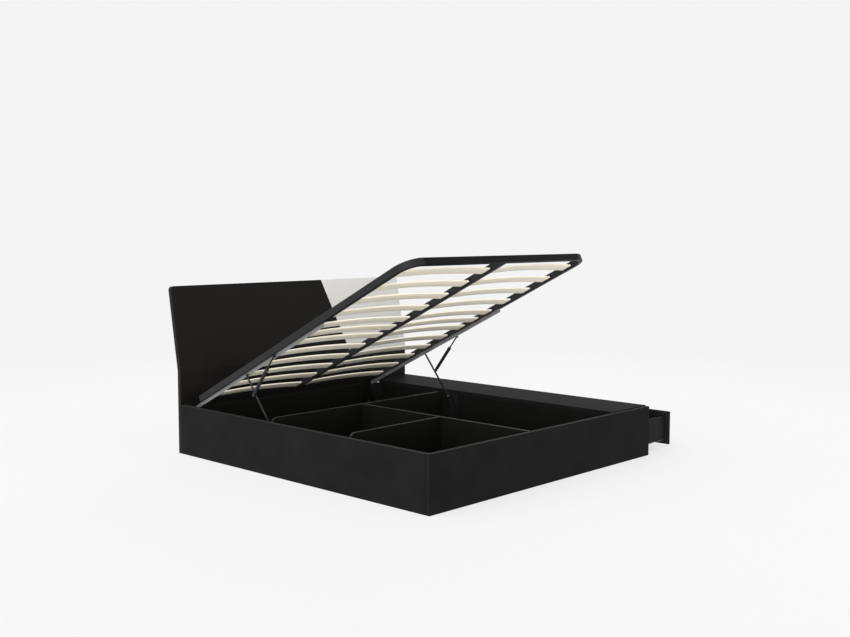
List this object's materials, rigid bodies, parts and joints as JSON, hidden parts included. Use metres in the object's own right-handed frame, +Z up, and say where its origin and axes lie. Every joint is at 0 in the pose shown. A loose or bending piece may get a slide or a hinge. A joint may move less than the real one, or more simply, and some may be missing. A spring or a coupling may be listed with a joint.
{
  "type": "storage bed",
  "caption": "Black lift-up storage bed: box base with dividers, slatted platform on gas springs, side ledge with drawers, and a leaning headboard with a pale corner.",
  "frame": {"origin": "middle of the base's footprint on the floor, under the pad at its centre", "axes": "+X towards the ledge and drawers, +Y towards the headboard, +Z up"},
  "size_m": [2.24, 2.2073, 1.2293],
  "materials": {
    "black_board": "matte black laminate on board",
    "inner_board": "matte black laminate on board",
    "drawer_board": "matte black laminate on board",
    "pale_board": "smooth pale lacquer on board",
    "frame_wood": "satin black lacquer on bent laminated wood",
    "slat_wood": "clear-coated pale laminated wood",
    "holder_plastic": "moulded black plastic",
    "slider_nylon": "moulded natural nylon",
    "pad_plastic": "moulded black plastic",
    "zinc_steel": "zinc-plated steel",
    "runner_steel": "zinc-plated steel",
    "dark_steel": "satin black paint on steel",
    "rod_steel": "ground and black-nitrided steel"
  },
  "bodies": {
    "base": {"bay_inner_wall": "black_board", "bay_partition_foot": "black_board", "bay_partition_head": "black_board", "corner_blocks": "inner_board", "corner_bolts": "runner_steel", "cross_divider_foot": "inner_board", "cross_divider_head": "inner_board", "drawer_fascia": "black_board", "fixed_runners": "runner_steel", "floor_boards": "inner_board", "floor_pads": "pad_plastic", "foot_panel": "black_board", "guide_plates": "dark_steel", "head_cross_panel": "black_board", "headboard_battens": "inner_board", "headboard_lower_panel": "black_board", "headboard_pale_panel": "pale_board", "headboard_upper_panel": "black_board", "ledge_top": "black_board", "left_side_panel": "black_board", "long_divider": "inner_board", "runner_bearers": "inner_board", "slot_brackets": "dark_steel"},
    "sliders": {"pivot_sliders": "slider_nylon"},
    "platform": {"lift_angle_left": "zinc_steel", "lift_angle_right": "zinc_steel", "platform_foot_bends": "frame_wood", "platform_middle_rail": "frame_wood", "platform_rail_foot": "frame_wood", "platform_rail_head": "frame_wood", "platform_rail_left": "frame_wood", "platform_rail_right": "frame_wood", "slat_holders": "holder_plastic", "slats_left": "slat_wood", "slats_right": "slat_wood"},
    "left_stay": {"stay_left": "dark_steel"},
    "left_gas_tube": {"gas_cylinder_left": "dark_steel"},
    "left_gas_plunger": {"gas_rod_left": "rod_steel"},
    "right_stay": {"stay_right": "dark_steel"},
    "right_gas_tube": {"gas_cylinder_right": "dark_steel"},
    "right_gas_plunger": {"gas_rod_right": "rod_steel"},
    "foot_drawer": {"drawer_foot_front": "black_board", "drawer_foot_sides": "drawer_board", "drawer_foot_back": "drawer_board", "drawer_foot_bottom": "drawer_board", "drawer_foot_runners": "runner_steel"},
    "foot_runner_links": {"drawer_foot_mid_runners": "runner_steel"},
    "middle_drawer": {"drawer_middle_front": "black_board", "drawer_middle_sides": "drawer_board", "drawer_middle_back": "drawer_board", "drawer_middle_bottom": "drawer_board", "drawer_middle_runners": "runner_steel"},
    "middle_runner_links": {"drawer_middle_mid_runners": "runner_steel"},
    "head_drawer": {"drawer_head_front": "black_board", "drawer_head_sides": "drawer_board", "drawer_head_back": "drawer_board", "drawer_head_bottom": "drawer_board", "drawer_head_runners": "runner_steel"},
    "head_runner_links": {"drawer_head_mid_runners": "runner_steel"}
  },
  "joints": [
    {"name": "pivot_slide", "type": "slide", "parent": "base", "child": "sliders", "axis": [0, -1, 0], "range_m": [-0.0465, 0]},
    {"name": "platform_lift", "type": "hinge", "parent": "sliders", "child": "platform", "pos_m": [0, 0.9616, 0.291], "axis": [-1, 0, 0], "range_deg": [-26, 0]},
    {"name": "left_stay_swing", "type": "hinge", "parent": "platform", "child": "left_stay", "pos_m": [-0.908, 0.46315, 0.53411], "axis": [-1, 0, 0], "range_deg": [0, 33.45]},
    {"name": "left_gas_swing", "type": "hinge", "parent": "left_stay", "child": "left_gas_tube", "pos_m": [-0.908, 0.3783, 0.42782], "axis": [-1, 0, 0], "range_deg": [-34.65, 0]},
    {"name": "left_gas_stroke", "type": "slide", "parent": "left_gas_tube", "child": "left_gas_plunger", "axis": [0, -0.6193, 0.7852], "range_m": [-0.078, 0]},
    {"name": "right_stay_swing", "type": "hinge", "parent": "platform", "child": "right_stay", "pos_m": [0.578, 0.46315, 0.53411], "axis": [-1, 0, 0], "range_deg": [0, 33.45]},
    {"name": "right_gas_swing", "type": "hinge", "parent": "right_stay", "child": "right_gas_tube", "pos_m": [0.578, 0.3783, 0.42782], "axis": [-1, 0, 0], "range_deg": [-34.65, 0]},
    {"name": "right_gas_stroke", "type": "slide", "parent": "right_gas_tube", "child": "right_gas_plunger", "axis": [0, -0.6193, 0.7852], "range_m": [-0.078, 0]},
    {"name": "foot_drawer_slide", "type": "slide", "parent": "base", "child": "foot_drawer", "axis": [1, 0, 0], "range_m": [-0.291, 0.009]},
    {"name": "foot_runner_slide", "type": "slide", "parent": "base", "child": "foot_runner_links", "axis": [1, 0, 0], "range_m": [-0.1455, 0.0045]},
    {"name": "middle_drawer_slide", "type": "slide", "parent": "base", "child": "middle_drawer", "axis": [1, 0, 0], "range_m": [0, 0.3]},
    {"name": "middle_runner_slide", "type": "slide", "parent": "base", "child": "middle_runner_links", "axis": [1, 0, 0], "range_m": [0, 0.15]},
    {"name": "head_drawer_slide", "type": "slide", "parent": "base", "child": "head_drawer", "axis": [1, 0, 0], "range_m": [-0.3, 0]},
    {"name": "head_runner_slide", "type": "slide", "parent": "base", "child": "head_runner_links", "axis": [1, 0, 0], "range_m": [-0.15, 0]}
  ],
  "couplings": [
    {"joint": "pivot_slide", "follows": "platform_lift", "m_per_rad": 0.10225},
    {"joint": "left_stay_swing", "follows": "platform_lift", "ratio": -1.2846},
    {"joint": "left_gas_swing", "follows": "platform_lift", "ratio": 1.3316},
    {"joint": "left_gas_stroke", "follows": "platform_lift", "m_per_rad": 0.17181},
    {"joint": "right_stay_swing", "follows": "platform_lift", "ratio": -1.2846},
    {"joint": "right_gas_swing", "follows": "platform_lift", "ratio": 1.3316},
    {"joint": "right_gas_stroke", "follows": "platform_lift", "m_per_rad": 0.17181},
    {"joint": "foot_runner_slide", "follows": "foot_drawer_slide", "ratio": 0.5},
    {"joint": "middle_runner_slide", "follows": "middle_drawer_slide", "ratio": 0.5},
    {"joint": "head_runner_slide", "follows": "head_drawer_slide", "ratio": 0.5}
  ]
}
